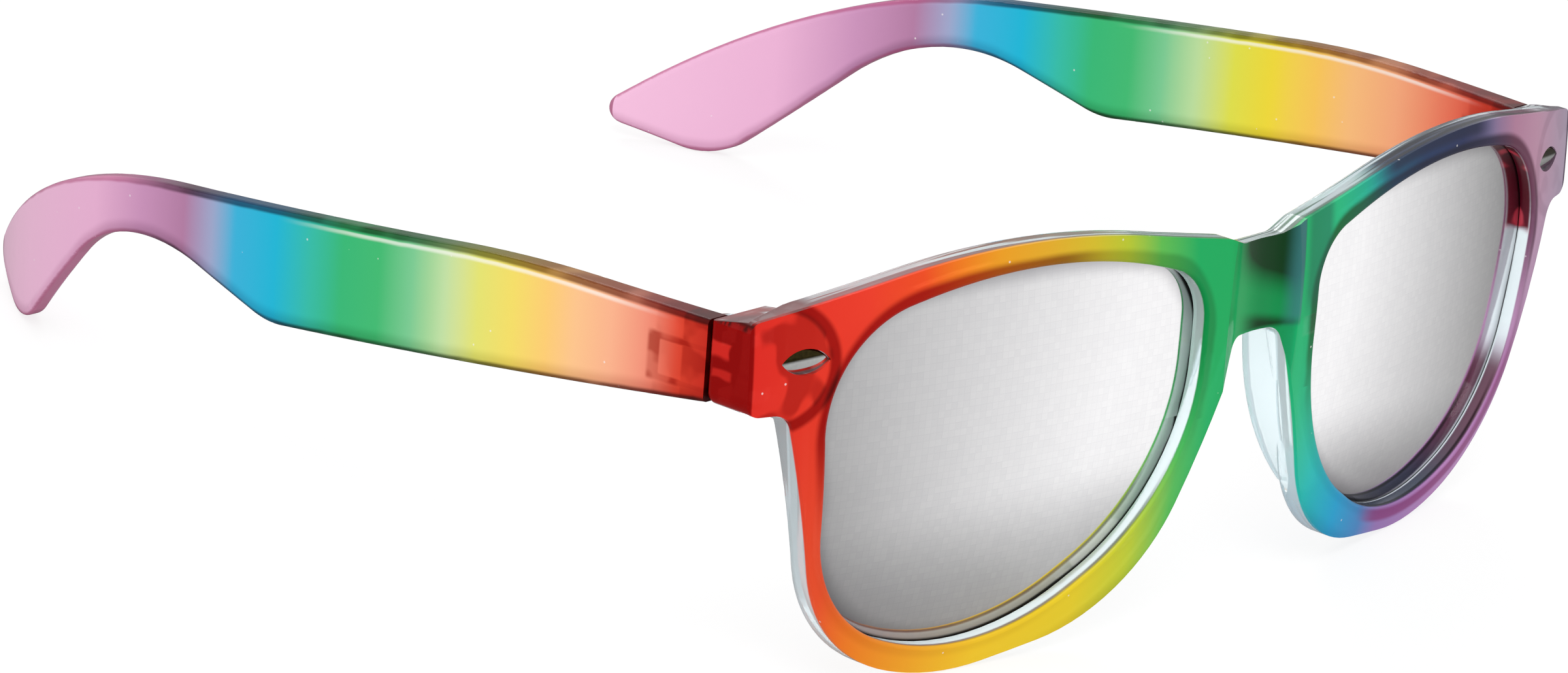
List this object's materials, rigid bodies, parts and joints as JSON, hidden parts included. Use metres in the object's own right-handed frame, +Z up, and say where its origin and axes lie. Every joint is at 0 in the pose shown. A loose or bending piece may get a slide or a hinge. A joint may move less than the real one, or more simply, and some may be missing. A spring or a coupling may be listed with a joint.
{
  "type": "diffraction glasses",
  "caption": "Party diffraction glasses: rainbow-printed clear plastic front and folding temples, mirrored lenses backed by grating film, almond rivets.",
  "frame": {"origin": "centre of the bounding box's bottom face, on the table that the rims and the temple tips stand on", "axes": "+X to the wearer's left, +Y back from the front towards the temple tips, +Z up; the front leans back 4.1 degrees from upright"},
  "size_m": [0.1474, 0.1476, 0.0496],
  "materials": {
    "clear_plastic": "clear plastic with a translucent rainbow print on the outer face",
    "temple_plastic": "clear plastic with a translucent rainbow print on the outer face",
    "lens_mirror": "silver mirror coat",
    "grating_film": "fine ruled film",
    "rivet_metal": "polished",
    "screw_metal": "bright"
  },
  "bodies": {
    "front": {"front_frame": "clear_plastic", "left_lens": "lens_mirror", "right_lens": "lens_mirror", "left_diffraction_film": "grating_film", "right_diffraction_film": "grating_film", "left_rivet": "rivet_metal", "right_rivet": "rivet_metal", "left_hinge_screw": "screw_metal", "right_hinge_screw": "screw_metal"},
    "left_temple": {"left_temple": "temple_plastic"},
    "right_temple": {"right_temple": "temple_plastic"}
  },
  "joints": [
    {"name": "left_hinge", "type": "hinge", "parent": "front", "child": "left_temple", "pos_m": [0.066, -0.05301, 0.03702], "axis": [0, 0.0721, 0.9974], "range_deg": [0, 85]},
    {"name": "right_hinge", "type": "hinge", "parent": "front", "child": "right_temple", "pos_m": [-0.066, -0.05301, 0.03702], "axis": [0, -0.0721, -0.9974], "range_deg": [0, 77]}
  ]
}
